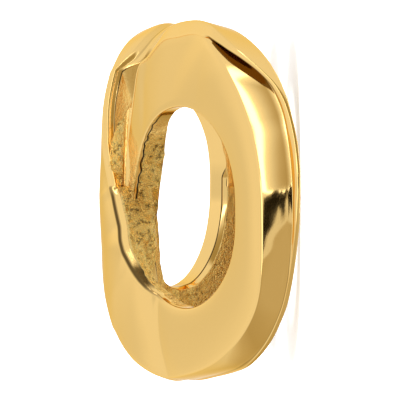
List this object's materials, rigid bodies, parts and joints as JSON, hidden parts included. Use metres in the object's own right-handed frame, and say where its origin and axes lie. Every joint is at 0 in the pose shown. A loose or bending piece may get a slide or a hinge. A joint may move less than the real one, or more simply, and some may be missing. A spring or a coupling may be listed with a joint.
{
  "type": "infinity charm",
  "caption": "Cast gold infinity charm, bent at the crossing, with two open lobes that a fine chain runs through.",
  "frame": {"origin": "on the surface that the charm rests on, straight below the crossing", "axes": "+X along the charm's long way, +Y up the charm when it is worn, +Z out of the polished face"},
  "size_m": [0.0118, 0.0082, 0.0041],
  "materials": {
    "polished_gold": "polished 14K yellow gold, left as cast in the hollow back"
  },
  "bodies": {
    "root": {"infinity_band": "polished_gold"}
  },
  "joints": []
}
